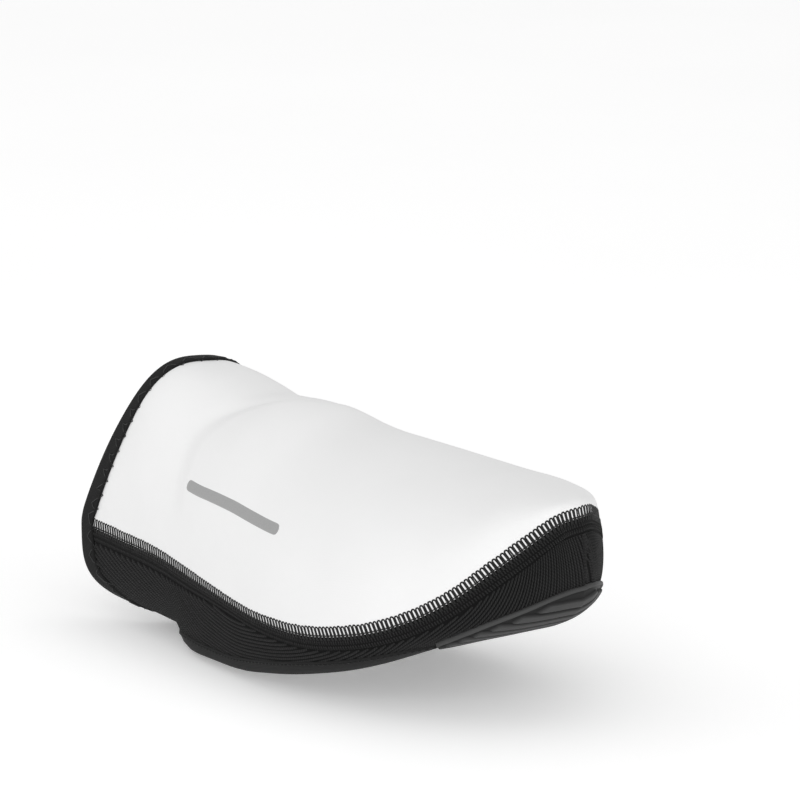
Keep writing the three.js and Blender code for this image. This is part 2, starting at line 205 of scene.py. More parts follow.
# The upper shell is one panel of smooth white laminate, cut and glued to shape, and stretched over the
# toes and instep. The stations give the foot's form from the slanted rear opening to the toe tip, as
# in the solids: seam, crown line and lower edge of the band, in mm.
COLUMNS = ["x", "outer", "inner", "seam_outer", "seam_inner", "ridge_x", "ridge_y", "ridge_z", "rim_x",
           "rim_outer", "rim_inner", "rim_outer_z", "rim_inner_z", "lift", "swell", "corner",
           "arch_outer", "arch_inner"]
STATIONS = np.array([
    [-135.5, 32.0, 31.0, 35.2, 34.0, -99.0, -5.0, 94.8, -106.0, 0, 0, 3.2, 3.2, 0.5, 0, 5.0, 3.0, 2.15],
    [-121, 33.2, 31.6, 34.5, 33.0, -89.0, -4.5, 94.2, -98.0, 0, 0, 2.8, 2.8, 0.5, 0, 5.0, 2.9, 2.15],
    [-106.8, 34.6, 32.0, 33.8, 32.2, -79.5, -3.5, 92.6, -90.5, 0, 0, 2.2, 2.2, 0.5, 0, 4.7, 2.7, 2.15],
    [-92.5, 36.2, 32.5, 33.2, 31.6, -70.5, -2.0, 89.8, -84.0, 0, 0, 1.5, 1.5, 0.5, 0, 4.4, 2.5, 2.15],
    [-79, 38.1, 33.4, 32.2, 31.0, -61.0, -0.5, 86.4, -79.5, 0, 0, 0.9, 0.9, 0.6, 0, 4.2, 2.35, 2.15],
    [-66, 40.2, 34.8, 30.6, 30.4, -51.5, 0.5, 85.8, -76.4, 24.0, 18.5, 0.3, 0.3, 0.8, 0, 4.2, 2.3, 2.15],
    [-53, 42.5, 37.0, 29.0, 30.0, -41.5, 1.0, 86.2, -65.0, 35.3, 29.5, 0, 0, 1.1, 0, 3.6, 2.25, 2.15],
    [-40, 45.0, 39.8, 27.6, 30.0, -31.0, 1.0, 85.0, -47.5, 38.5, 33.3, 0, 0, 1.5, 0, 3.0, 2.2, 2.15],
    [-27, 47.3, 43.0, 26.2, 30.4, -20.5, 1.5, 82.4, -30.5, 40.5, 36.5, 0.4, 0.6, 1.8, 0, 2.7, 2.15, 2.15],
    [-14, 49.2, 46.0, 25.2, 31.4, -10.0, 2.0, 80.8, -15.5, 42.0, 39.0, 2.7, 3.0, 2.0, 0, 2.5, 2.1, 2.1],
    [0, 50.0, 48.4, 24.9, 33.2, 2.0, 2.5, 79.8, 0, 42.8, 41.2, 5.5, 6.2, 2.0, 0, 2.5, 2.1, 2.1],
    [14, 49.6, 49.6, 25.4, 36.2, 15.0, 3.0, 78.8, 14.0, 42.2, 41.6, 8.6, 10.0, 2.0, 0.02, 2.5, 2.1, 2.1],
    [28, 47.8, 49.4, 27.5, 40.5, 28.5, 3.5, 77.6, 27.5, 39.8, 39.8, 12.0, 14.6, 2.0, 0.05, 2.5, 2.1, 2.1],
    [42, 44.0, 47.6, 31.0, 46.0, 42.0, 4.5, 76.4, 40.0, 35.4, 35.8, 16.2, 19.2, 2.5, 0.1, 2.6, 2.1, 2.1],
    [55, 38.0, 43.5, 36.5, 52.5, 54.5, 5.5, 75.6, 49.5, 28.6, 29.5, 20.4, 23.0, 3.0, 0.14, 2.7, 2.15, 2.15],
    [66.8, 31.6, 34.8, 44.2, 59.0, 65.5, 6.0, 75.0, 55.0, 20.8, 22.0, 23.2, 25.2, 3.6, 0.17, 2.8, 2.25, 2.25],
    [76.5, 24.6, 25.8, 53.4, 64.8, 74.8, 6.0, 74.6, 58.8, 13.2, 14.6, 25.2, 26.6, 4.4, 0.18, 3.0, 2.4, 2.4],
    [84.2, 15.0, 16.8, 62.5, 68.6, 82.3, 5.8, 73.8, 60.7, 6.4, 8.4, 26.4, 27.2, 5.0, 0.18, 3.1, 2.5, 2.5],
    [88.2, 4.8, 10.8, 69.0, 70.9, 87.2, 5.6, 72.8, 61.4, 1.0, 4.3, 27.0, 27.3, 5.4, 0.18, 3.2, 2.6, 2.6],
    [89.6, -5.5, 5.5, 71.0, 71.0, 89.6, 5.5, 71.0, 61.6, -1.6, 1.6, 27.2, 27.2, 5.4, 0.18, 3.2, 2.6, 2.6],
])
LAST = len(STATIONS) - 1
CLEAT_START = 4
OPENING_BOW = 1.2
STRAP_SWEEP = 3.0
SWEEP_END = 8
CORNER_BUNCHING = 0.45


def column(name, u):
    """One column of the stations, read smoothly at station numbers u."""
    values = STATIONS[:, COLUMNS.index(name)]
    index = np.clip(np.floor(u).astype(int), 0, LAST - 1)
    t = u - index
    a, b, c, d = (values[np.clip(index + step, 0, LAST)] for step in (-1, 0, 1, 2))
    slope_in, slope_out = (c - a) / 2, (d - b) / 2
    return (((2 * t - 3) * t * t + 1) * b + ((t - 2) * t + 1) * t * slope_in
            + (3 - 2 * t) * t * t * c + (t - 1) * t * t * slope_out)


def either(outer, u, outer_column, inner_column):
    return np.where(outer, column(outer_column, u), column(inner_column, u))


def rounded_square(angle, squareness):
    """Where a direction meets a rounded square of unit half width: how far out and how far up."""
    out, up = np.maximum(0, np.cos(angle)), np.maximum(0, np.sin(angle))
    size = (out ** squareness + up ** squareness) ** (1 / squareness)
    return out / size, up / size


def shell_point(u, w):
    """The shell from the outer seam (w = 0) over the crown (w = 0.5) to the inner seam (w = 1)."""
    outer = w < 0.5
    squareness = either(outer, u, "arch_outer", "arch_inner")
    spread, rise = rounded_square(np.where(outer, w, 1 - w) * np.pi, squareness)
    seam_y = np.where(outer, -column("outer", u), column("inner", u))
    seam_z = either(outer, u, "seam_outer", "seam_inner")
    bow = OPENING_BOW * np.maximum(0, 1 - u / CLEAT_START) * np.sin(np.pi * rise)
    ridge_y = column("ridge_y", u)
    return np.stack([
        column("x", u) + (column("ridge_x", u) - column("x", u)) * rise - bow,
        ridge_y + (seam_y - ridge_y) * spread,
        seam_z + (column("ridge_z", u) - seam_z) * rise,
    ], axis=-1)


def band_point(u, outer, w):
    """The band on its outer or inner side, from the seam (w = 0) to its lower edge (w = 1)."""
    bunched = w + CORNER_BUNCHING * np.sin(2 * np.pi * w) / (2 * np.pi)
    spread, drop = rounded_square(bunched * np.pi / 2, column("corner", u))
    seam_z = either(outer, u, "seam_outer", "seam_inner")
    half = either(outer, u, "outer", "inner")
    rim_half = np.where(u <= CLEAT_START, 0, either(outer, u, "rim_outer", "rim_inner"))
    sweep = 1 + STRAP_SWEEP * np.maximum(0, 1 - u / SWEEP_END)
    sole_z = either(outer, u, "rim_outer_z", "rim_inner_z") + column("lift", u) * spread
    reach = spread + column("swell", u) * np.sin(w * np.pi)
    rim_x = column("rim_x", u)
    return np.stack([
        rim_x + (column("x", u) - rim_x) * reach ** sweep,
        np.where(outer, -1, 1) * (rim_half + (half - rim_half) * reach),
        seam_z + (sole_z - seam_z) * drop,
    ], axis=-1)


def unit(vectors):
    return vectors / np.maximum(np.linalg.norm(vectors, axis=-1, keepdims=True), 1e-9)


# The band is followed round the foot by t: stations up the outer side to the toe tip, and on from there
# back along the inner side. Depth is measured over the band from the seam, in mm.
ROUND = 2 * LAST
FINE_STEPS = 16
FINE_ROWS = 120
FINE_T = np.linspace(0, ROUND, ROUND * FINE_STEPS + 1)
FINE_W = np.linspace(0, 1, FINE_ROWS + 1)
PROBE = 0.02
SEAM_PULL = 0.28
PULL_STATION = 8
PULL_REACH = 2.4


def side_of(t):
    return t <= LAST, np.clip(np.where(t <= LAST, t, ROUND - t), 0, LAST)


def band_round(t, w):
    outer, u = side_of(t)
    return band_point(u, outer, w)


fine_band = band_round(*np.meshgrid(FINE_T, FINE_W, indexing="ij"))
fine_steps = np.linalg.norm(np.diff(fine_band, axis=1), axis=-1)
FINE_DEPTH = np.concatenate([np.zeros((len(FINE_T), 1)), np.cumsum(fine_steps, axis=1)], axis=1)
seam_steps = np.linalg.norm(np.diff(fine_band[:, 0], axis=0), axis=-1)
SEAM_RUN = np.concatenate([[0], np.cumsum(seam_steps)])
SEAM_SPEED = np.gradient(SEAM_RUN, FINE_T)
seam_along = unit(np.gradient(fine_band[:, 0], axis=0))
seam_down = unit(fine_band[:, 2] - fine_band[:, 0])
row_sine = np.sum(seam_along * seam_down, axis=-1)
ROW_LEAN = row_sine / np.sqrt(1 - row_sine ** 2)


def band_length(t):
    return np.interp(t, FINE_T, FINE_DEPTH[:, -1])


def w_at_depth(t, depth):
    """The band's own w where it lies this deep below the seam."""
    t, depth = np.broadcast_arrays(np.asarray(t, float), np.asarray(depth, float))
    place = np.clip(t.ravel() / ROUND * (len(FINE_T) - 1), 0, len(FINE_T) - 1.001)
    row = place.astype(int)
    share = (place - row)[:, None]
    depths = FINE_DEPTH[row] * (1 - share) + FINE_DEPTH[row + 1] * share
    wanted = np.clip(depth.ravel(), 0, depths[:, -1])[:, None]
    after = np.clip(np.sum(depths <= wanted, axis=1), 1, len(FINE_W) - 1)
    pick = np.arange(len(row))
    low, high = depths[pick, after - 1], depths[pick, after]
    part = (wanted[:, 0] - low) / np.maximum(high - low, 1e-9)
    return ((after - 1 + part) / (len(FINE_W) - 1)).reshape(t.shape)


def band_normal(t, w):
    w = np.clip(w, PROBE, 1 - PROBE)
    along = band_round(t + PROBE, w) - band_round(t - PROBE, w)
    down = band_round(t, w + PROBE) - band_round(t, w - PROBE)
    return -unit(np.cross(along, down))


def on_band(t, depth, height=0.0):
    """Points on the band at this depth, moved out from it by height."""
    t, depth, height = np.broadcast_arrays(t, depth, height)
    w = w_at_depth(t, depth)
    return band_round(t, w) + band_normal(t, w) * height[..., None]


def seam_scale(t):
    """The seam is drawn narrower where it is pulled tightest, beside the ball of the foot."""
    from_pull = (np.minimum(t, ROUND - t) - PULL_STATION) / PULL_REACH
    return 1 - SEAM_PULL * np.exp(-from_pull ** 2)


def square_depth(t, distance):
    """The depth along a row of the band at which it is this far from the seam, square to it."""
    return distance * seam_scale(t) * np.sqrt(1 + np.interp(t, FINE_T, ROW_LEAN) ** 2)


def below_seam(run, distance, height=0.0):
    """Points this far along the seam from its outer rear end, and this far below it, square to it."""
    start = np.interp(run, SEAM_RUN, FINE_T)
    lean = np.interp(start, FINE_T, ROW_LEAN)
    distance = distance * seam_scale(start)
    t = start - distance * lean / np.interp(start, FINE_T, SEAM_SPEED)
    return on_band(np.clip(t, 0, ROUND), distance * np.sqrt(1 + lean ** 2), height)


def bend_grid(bm, points, cloth):
    """Adds a grid with a corner at each of the points, which are a two-way array in mm. cloth is where
    each corner lies on the flat cloth, in mm, for the weave to follow."""
    rows, columns = points.shape[:2]
    made = bmesh.ops.create_grid(bm, x_segments=rows - 1, y_segments=columns - 1, size=0.5)["verts"]
    uv = bm.loops.layers.uv.get("cloth") or bm.loops.layers.uv.new("cloth")
    for index, vert in enumerate(made):
        column_index, row = divmod(index, rows)
        vert.co = points[row, column_index] * MM
        for loop in vert.link_loops:
            loop[uv].uv = cloth[row, column_index]
    return made


def bend_strips(bm, points, cloth):
    """Adds many grids of one size at once, which the first way of the arrays counts."""
    count, rows, columns = points.shape[:3]
    shape = (count * rows, columns)
    made = bend_grid(bm, points.reshape(*shape, 3), cloth.reshape(*shape, 2))
    strip_of = {vert: index % (count * rows) // rows for index, vert in enumerate(made)}
    between = [face for face in bm.faces if len({strip_of.get(vert) for vert in face.verts}) > 1]
    bmesh.ops.delete(bm, geom=between, context="FACES")


def make_piece(name, bm, look):
    """The finished mesh as a named piece that belongs to the cover."""
    mesh = bpy.data.meshes.new(name)
    for face in bm.faces:
        face.smooth = True
    bm.to_mesh(mesh)
    bm.free()
    made = bpy.data.objects.new(name, mesh)
    mesh.materials.append(look.material)
    scene.collection.objects.link(made)
    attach(made, "root")
    return made


def add_wall(made, thickness, lining=None):
    """Gives cloth its thickness, inwards, and a lining if the inside differs from the outside."""
    wall = made.modifiers.new("wall", "SOLIDIFY")
    wall.thickness = thickness * MM
    wall.offset = -1
    wall.use_even_offset = False
    if lining:
        made.data.materials.append(lining.material)
        wall.material_offset = 1


SHELL_WALL = 1.6
SHELL_UNDERLAP = 3.6
SHELL_ROWS = LAST * 10
SHELL_COLUMNS = 110
UNDERLAP_STEPS = 3
MERGE_DISTANCE = 1e-5
WEAVE_PITCH = 0.55
BUMPS = [
    # what presses up from the shoe: x, y, reach along, reach across, height
    ("closure_dial", -96, -24, 13, 13, 2.5),
    ("vamp_edge", -48, -16, 21, 22, 2.5),
]
BUMP_FOOT, BUMP_FULL = 38, 60
# The stiff edge of the shoe's upper shows through as a soft step, which rises straight up the outer side
# and then slants forward over the instep. Behind it the cloth dips, and in front the step fades out.
STEP_X = -74
STEP_SLANT = 34
SLANT_START, SLANT_END = 0.2, 0.55
SHOWN_START, SHOWN_FULL = 0.06, 0.16
HIDDEN_START, HIDDEN_FULL = 0.5, 0.64
STEP_RISE = 1.2
STEP_START, STEP_END = -2, 9
FADE_START, FADE_END = 35, 90
STEP_DIP = 0.8
DIP_REACH = 5


def smooth_step(values, low, high):
    """0 below low and 1 above high, with a soft start and end between them."""
    share = np.clip((values - low) / (high - low), 0, 1)
    return share * share * (3 - 2 * share)


def shell_normal(u, w):
    u, w = np.clip(u, PROBE, LAST - 0.3), np.clip(w, PROBE, 1 - PROBE)
    along = shell_point(u + PROBE, w) - shell_point(u - PROBE, w)
    over = shell_point(u, w + PROBE / 2) - shell_point(u, w - PROBE / 2)
    return unit(np.cross(along, over))


def shell_surface(u, w, height=0.0):
    """The shell with what the shoe presses up through it, and moved out from there by height."""
    points = shell_point(u, w)
    fade = smooth_step(points[..., 2], BUMP_FOOT, BUMP_FULL)
    raised = np.zeros_like(fade) + height
    for _, x, y, along, across, top in BUMPS:
        dx, dy = (points[..., 0] - x) / along, (points[..., 1] - y) / across
        raised = raised + fade * top * np.exp(-dx * dx - dy * dy)
    from_step = points[..., 0] - STEP_X - STEP_SLANT * smooth_step(w, SLANT_START, SLANT_END)
    shown = smooth_step(w, SHOWN_START, SHOWN_FULL) * (1 - smooth_step(w, HIDDEN_START, HIDDEN_FULL))
    step = smooth_step(from_step, STEP_START, STEP_END) * (1 - smooth_step(from_step, FADE_START, FADE_END))
    dip = np.exp(-(from_step / DIP_REACH) ** 2)
    raised = raised + shown * (STEP_RISE * step - STEP_DIP * dip)
    return points + shell_normal(u, w) * raised[..., None]


def run_length(points):
    """How far along each path its points lie."""
    steps = np.linalg.norm(np.diff(points, axis=-2), axis=-1)
    return np.concatenate([np.zeros_like(steps[..., :1]), np.cumsum(steps, axis=-1)], axis=-1)


u_rows = np.linspace(0, LAST, SHELL_ROWS + 1)[:, None]
arch = shell_surface(u_rows, np.linspace(0, 1, SHELL_COLUMNS + 1)[None, :])
under = np.linspace(SHELL_UNDERLAP, 0, UNDERLAP_STEPS + 1)[:-1][None, :]
outer_lap = on_band(u_rows, square_depth(u_rows, under))
inner_lap = on_band(ROUND - u_rows, square_depth(ROUND - u_rows, under))[:, ::-1]
shell_points = np.concatenate([outer_lap, arch, inner_lap], axis=1)
across_shell = run_length(shell_points)
along_shell = run_length(shell_points.swapaxes(0, 1)).T

laminate = Look("white_laminate", {"Specular IOR Level": 0.35, "Sheen Weight": 0.15})
along, across = laminate.cloth_place()
weave = laminate.wave(along / WEAVE_PITCH) * laminate.wave(across / WEAVE_PITCH)
haze = laminate.noise(laminate.object_place(), 38.0, 4.0)
laminate.paint("Base Color", laminate.mix(haze, grey(0.80), grey(0.84)))
laminate.paint("Roughness", haze * 0.12 + 0.52)
laminate.bump(weave * 0.7 + laminate.noise(laminate.object_place(), 900.0) * 0.3, 0.02 * MM)

bm = bmesh.new()
bend_grid(bm, shell_points, np.stack([along_shell, across_shell], axis=-1))
bmesh.ops.remove_doubles(bm, verts=bm.verts, dist=MERGE_DISTANCE)
shell = make_piece("shell_cloth", bm, laminate)

lining = Look("brushed_lining", {"Roughness": 0.9, "Sheen Weight": 0.2})
nap = lining.noise(lining.object_place(), 1200.0, 3.0)
lining.paint("Base Color", lining.mix(nap, grey(0.42), grey(0.56)))
lining.bump(nap, 0.2 * MM)
add_wall(shell, SHELL_WALL, lining)
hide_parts("upper_shell")


# The band is heavy ribbed elastic knit, cut in one piece, sewn on under the shell's edge, and drawn round
# the edge of the sole. A groove runs along it where the seam's second row of stitches pulls it in.
BAND_WALL = 1.6
# rows along the seam: the distance below it, and how far the knit stands out there
STRIP_ROWS = np.array([
    (3.75, -0.1), (4.3, 0.2), (5.6, 0.25), (7.2, 0.25), (8.0, 0.15), (8.35, -0.1), (8.6, -0.25), (8.9, -0.15),
    (9.4, 0.0),
])
KNIT_STEPS = 46
BAND_STEPS = ROUND * 9
KNIT_ALONG = 0.6
KNIT_ACROSS = 0.5

knit = Look("knit_ground", {"Roughness": 0.9, "Specular IOR Level": 0.15})
along, across = knit.cloth_place()
stitches = knit.wave(along / KNIT_ALONG) * knit.wave(across / KNIT_ACROSS)
fuzz = knit.noise(knit.object_place(), 700.0, 2.0)
knit.paint("Base Color", knit.mix(stitches * 0.6 + fuzz * 0.4, grey(0.003), grey(0.010)))
knit.bump(stitches * 0.7 + fuzz * 0.3, 0.2 * MM)

band_t = np.linspace(0, ROUND, BAND_STEPS + 1)[:, None]
strip_depth = square_depth(band_t, STRIP_ROWS[None, :, 0])
knit_share = np.linspace(0, 1, KNIT_STEPS + 1)[None, 1:]
knit_depth = strip_depth[:, -1:] + (band_length(band_t) - strip_depth[:, -1:]) * knit_share
band_depth = np.concatenate([strip_depth, knit_depth], axis=1)
band_height = np.pad(STRIP_ROWS[:, 1], (0, KNIT_STEPS))[None, :]
band_points = on_band(band_t, band_depth, band_height)
behind_cleat = np.minimum(band_t, ROUND - band_t)[:, 0] < CLEAT_START
band_points[behind_cleat, -1, 1] = 0
band_run = np.broadcast_to(np.interp(band_t, FINE_T, SEAM_RUN), band_depth.shape)

bm = bmesh.new()
bend_grid(bm, band_points[:, ::-1], np.stack([band_run, band_depth], axis=-1)[:, ::-1])
strap_middle = [v for v in bm.verts if v.is_boundary and abs(v.co.y) < 1e-7]
bmesh.ops.remove_doubles(bm, verts=strap_middle, dist=2 * MERGE_DISTANCE)
band = make_piece("band_cloth", bm, knit)
add_wall(band, BAND_WALL)
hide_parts("side_band")


# The knit's ribs are round cords of yarn that run straight along the cut cloth. Drawn round the foot they
# slope down from the rear opening, wider apart there, and follow the edge of the sole. Over the toe they
# turn up and lean towards the outer side.
RIB_PITCH = 1.3
RIB_HEIGHT = 0.38
RIB_SINK = -0.08
RIB_FILL = 0.37
RIB_NARROWEST = 0.2
RIB_WIDEST = 1.4
RIB_STEP = 2.0
RIB_STEPS = 190
SHORTEST_RIB = 4
GRID_STEPS = 12
GRID_ROWS = 140
FAN_START = -20
FAN = 3.2e-5
TURN_START = 78
TOE_TURN = 0.006
RIB_TOP = 8.9
RIB_REAR = 4.5
RIB_RIM = 1.5
TIP_HEIGHT = 0.05
SCAN_STEPS = 2000
START_MARGIN = 0.002
REAR_MARGIN = 0.01
TOP_MARGIN = 0.03
YARN_TWILL = 1.1
YARN_SLANT = 0.8

grid_t = np.linspace(0, ROUND, ROUND * GRID_STEPS + 1)
grid_v = np.linspace(0, 1, GRID_ROWS + 1)
grid_depth = band_length(grid_t)[:, None] * grid_v
grid_points = on_band(grid_t[:, None], grid_depth)
grid_normals = band_normal(grid_t[:, None], w_at_depth(grid_t[:, None], grid_depth))

# Laid flat, the cloth keeps the outline of its lower edge and spreads out from there, square to it.
outline = unit(np.gradient(grid_points[:, 0, :2], axis=0))[:, None]
beyond = np.stack([outline[..., 1], -outline[..., 0]], axis=-1)
row_steps = -np.diff(grid_points, axis=1)[:, ::-1]
run_steps = np.sum(row_steps[..., :2] * outline, axis=-1)
wide_steps = np.sqrt(np.maximum(np.sum(row_steps ** 2, axis=-1) - run_steps ** 2, 0))
flat_steps = run_steps[..., None] * outline + wide_steps[..., None] * beyond
flat_run = np.pad(np.cumsum(flat_steps, axis=1), ((0, 0), (1, 0), (0, 0)))
flat_x, flat_y = (grid_points[:, -1:, axis] + flat_run[:, ::-1, axis] for axis in (0, 1))
fan = 1 - FAN * np.maximum(0, FAN_START - grid_points[..., 0]) ** 2
rib_level = flat_y * fan + TOE_TURN * np.maximum(0, flat_x - TURN_START) ** 2

level_t, level_v = np.gradient(rib_level, grid_t, grid_v)
along_t, along_v = np.gradient(grid_points, grid_t, grid_v, axis=(0, 1))
turn = level_v[..., None] * along_t - level_t[..., None] * along_v
turn_size = np.linalg.norm(turn, axis=-1)
rib_spacing = RIB_PITCH * np.linalg.norm(np.cross(along_t, along_v), axis=-1) / turn_size
top_v = square_depth(grid_t, RIB_TOP) / band_length(grid_t)
rim_v = np.where(np.minimum(grid_t, ROUND - grid_t) < CLEAT_START, 1, 1 - RIB_RIM / band_length(grid_t))
rear_t = np.interp(RIB_REAR, SEAM_RUN, FINE_T)


def read_grid(field, t, v):
    """A field over the band's grid, read between the grid's corners."""
    row = np.clip(t / ROUND * (len(grid_t) - 1), 0, len(grid_t) - 1.001)
    spot = np.clip(v * (len(grid_v) - 1), 0, len(grid_v) - 1.001)
    i, j = row.astype(int), spot.astype(int)
    a, b = row - i, spot - j
    if field.ndim == 3:
        a, b = a[..., None], b[..., None]
    return ((field[i, j] * (1 - b) + field[i, j + 1] * b) * (1 - a)
            + (field[i + 1, j] * (1 - b) + field[i + 1, j + 1] * b) * a)


def rib_step(t, v, distance):
    """The change in t and v on going this far along a rib."""
    share = distance / np.maximum(read_grid(turn_size, t, v), 1e-6)
    return share * read_grid(level_v, t, v), -share * read_grid(level_t, t, v)


def follow_ribs(t, v, heading):
    """Follows ribs over the band from where they start, and says how many steps each of them has."""
    path_t, path_v = [t], [v]
    inside = np.ones(len(t), bool)
    count = np.ones(len(t), int)
    for _ in range(RIB_STEPS):
        half_t, half_v = rib_step(t, v, heading * RIB_STEP / 2)
        step_t, step_v = rib_step(t + half_t, v + half_v, heading * RIB_STEP)
        t, v = t + step_t, v + step_v
        inside &= (t > rear_t) & (t < ROUND - rear_t)
        inside &= (v > np.interp(t, grid_t, top_v)) & (v < np.interp(t, grid_t, rim_v))
        count += inside
        path_t.append(t)
        path_v.append(v)
    return np.stack(path_t, axis=1), np.stack(path_v, axis=1), count


def ridge(points, normals, half_width, top, sink):
    """A rounded ridge along paths over cloth, tapered to nothing at both ends, and its cloth places."""
    sideways = unit(np.cross(np.gradient(points, axis=-2), normals))
    full = np.ones(points.shape[-2])
    full[[0, -1]] = TIP_HEIGHT
    offsets, heights = np.array([1, 0.5, -0.5, -1]), np.array([0, 1, 1, 0])
    rise = (sink + (top - sink) * heights)[None, :] * full[:, None] + sink * (1 - full[:, None])
    half_width = np.broadcast_to(half_width, points.shape[:-1])[..., None]
    section = sideways[..., None, :] * (offsets * half_width)[..., None]
    corners = points[..., None, :] + section + normals[..., None, :] * rise[..., None]
    return corners, np.stack(np.broadcast_arrays(run_length(points)[..., None], offsets * 0.5), axis=-1)


def crossings(levels):
    """Which of these places a rib passes, as the level rises or falls from each one to the next."""
    return np.flatnonzero(np.diff(np.floor(levels / RIB_PITCH)))


# Ribs start below the seam's strip, all along it, and at the two rear ends of the band.
scan_t = np.linspace(rear_t, ROUND - rear_t, 3 * SCAN_STEPS)
scan_v = np.interp(scan_t, grid_t, top_v) + START_MARGIN
passed = crossings(read_grid(rib_level, scan_t, scan_v))
starts = [(scan_t[passed], scan_v[passed], 0)]
for rear, forward in ((rear_t + REAR_MARGIN, 1), (ROUND - rear_t - REAR_MARGIN, -1)):
    scan_v = np.linspace(np.interp(rear, grid_t, top_v) + START_MARGIN, 0.99, SCAN_STEPS)
    passed = crossings(read_grid(rib_level, np.full(SCAN_STEPS, rear), scan_v))
    starts.append((np.full(len(passed), rear), scan_v[passed], forward))

bm = bmesh.new()
for start_t, start_v, forward in starts:
    if forward:
        heading = np.sign(read_grid(level_v, start_t, start_v)) * forward
    else:
        heading = -np.sign(read_grid(level_t, start_t, start_v))
    paths_t, paths_v, counts = follow_ribs(start_t, start_v, heading)
    for path_t, path_v, count in zip(paths_t, paths_v, counts):
        path_t, path_v = path_t[:count], path_v[:count]
        back_at_top = forward and path_v[-1] < np.interp(path_t[-1], grid_t, top_v) + TOP_MARGIN
        if count < SHORTEST_RIB or back_at_top:
            continue
        spacing = read_grid(rib_spacing, path_t, path_v)
        half_width = np.clip(RIB_FILL * spacing, RIB_NARROWEST, RIB_WIDEST)
        points = read_grid(grid_points, path_t, path_v)
        normals = unit(read_grid(grid_normals, path_t, path_v))
        bend_grid(bm, *ridge(points, normals, half_width, RIB_HEIGHT, RIB_SINK))

yarn = Look("rib_yarn", {"Roughness": 0.8, "Specular IOR Level": 0.25})
along, across = yarn.cloth_place()
twill = yarn.wave(along / YARN_TWILL + across * YARN_SLANT)
fuzz = yarn.noise(yarn.object_place(), 900.0, 2.0)
yarn.paint("Base Color", yarn.mix(twill * twill * 0.7 + fuzz * 0.3, grey(0.006), grey(0.025)))
yarn.bump(twill, 0.12 * MM)
ribs = make_piece("band_ribs", bm, yarn)


# The seam is overlock stitching in black thread over the shell's raw edge: tall loops that stand side by
# side and lean towards the toe, bound across their feet by a second thread.
LOOP_PITCH = 1.65
LOOP_HALF = 0.56
LOOP_HEIGHT = 0.02
LOOP_TURN_STEPS = 5
# down one leg of a loop, from its turn to its foot: the distance below the seam, and the height
LEG_DEPTH = [0.72, 2.6, 4.3, 5.8]
LEG_HEIGHT = [LOOP_HEIGHT, LOOP_HEIGHT, 0.3, -0.1]
# how far the loops lean, at even steps along the seam
LOOP_LEAN = [0.18, 0.3, 0.36, 0.1, 0.0, 0.1, 0.36, 0.3, 0.18]
SEAM_INSET = RIB_REAR + 3
THREAD = 0.3
THREAD_FLATNESS = 0.45
LOOPER_DEPTH = 3.2
LOOPER_HEIGHT = 0.25
LOOPER_DIP = 0.15
LOOPER = 0.17
TUBE_SIDES = 6
THREAD_TWIST = 0.45


def tube(points, normals, radius, flatness=1.0):
    """Thread along paths in mm, with normals that say which way is up, and its cloth places."""
    ahead = np.gradient(points, axis=-2)
    sideways = unit(np.cross(ahead, normals))
    upwards = unit(np.cross(sideways, ahead))
    turn = np.linspace(0, 2 * np.pi, TUBE_SIDES + 1)
    sideways, upwards = sideways[..., None, :], upwards[..., None, :]
    out, up = radius * np.cos(turn)[:, None], radius * flatness * np.sin(turn)[:, None]
    ring = points[..., None, :] + out * sideways + up * upwards
    return ring, np.stack(np.broadcast_arrays(run_length(points)[..., None], turn * radius), axis=-1)


def close_tubes(bm):
    """Joins each tube along its length and closes its ends."""
    bmesh.ops.remove_doubles(bm, verts=bm.verts, dist=MERGE_DISTANCE / 10)
    bmesh.ops.holes_fill(bm, edges=bm.edges, sides=TUBE_SIDES)
    bmesh.ops.recalc_face_normals(bm, faces=bm.faces)


thread = Look("black_thread", {"Roughness": 0.6, "Specular IOR Level": 0.3})
along, across = thread.cloth_place()
twist = thread.wave(along / THREAD_TWIST + across / (2 * THREAD_TWIST))
thread.paint("Base Color", thread.mix(twist, grey(0.004), grey(0.014)))
thread.bump(twist, 0.05 * MM)

loop_turn = np.linspace(0, np.pi, LOOP_TURN_STEPS + 1)[1:-1]
up_leg = [-LOOP_HALF] * len(LEG_DEPTH)
down_leg = [LOOP_HALF] * len(LEG_DEPTH)
loop_run = np.concatenate([up_leg, -LOOP_HALF * np.cos(loop_turn), down_leg])
loop_depth = np.concatenate([LEG_DEPTH[::-1], LEG_DEPTH[0] - LOOP_HALF * np.sin(loop_turn), LEG_DEPTH])
loop_height = np.concatenate([LEG_HEIGHT[::-1], [LOOP_HEIGHT] * len(loop_turn), LEG_HEIGHT])
loop_middles = np.arange(SEAM_INSET, SEAM_RUN[-1] - SEAM_INSET, LOOP_PITCH)
lean_places = np.linspace(0, SEAM_RUN[-1], len(LOOP_LEAN))
dice = np.random.default_rng(4)

outer_half = loop_middles < SEAM_RUN[-1] / 2
loop_lean = np.interp(loop_middles, lean_places, LOOP_LEAN) * np.where(outer_half, 1, -1)
loop_lean = loop_lean + dice.uniform(-0.03, 0.03, len(loop_middles))
loop_size = dice.uniform(0.94, 1.05, len(loop_middles))
loop_shift = dice.uniform(-0.12, 0.12, len(loop_middles))[:, None]
run = loop_middles[:, None] + loop_run * loop_size[:, None] + loop_lean[:, None] * loop_depth
loop_points = below_seam(run, loop_depth + loop_shift, loop_height)
loop_normals = loop_points - below_seam(run, loop_depth + loop_shift, loop_height - 1)

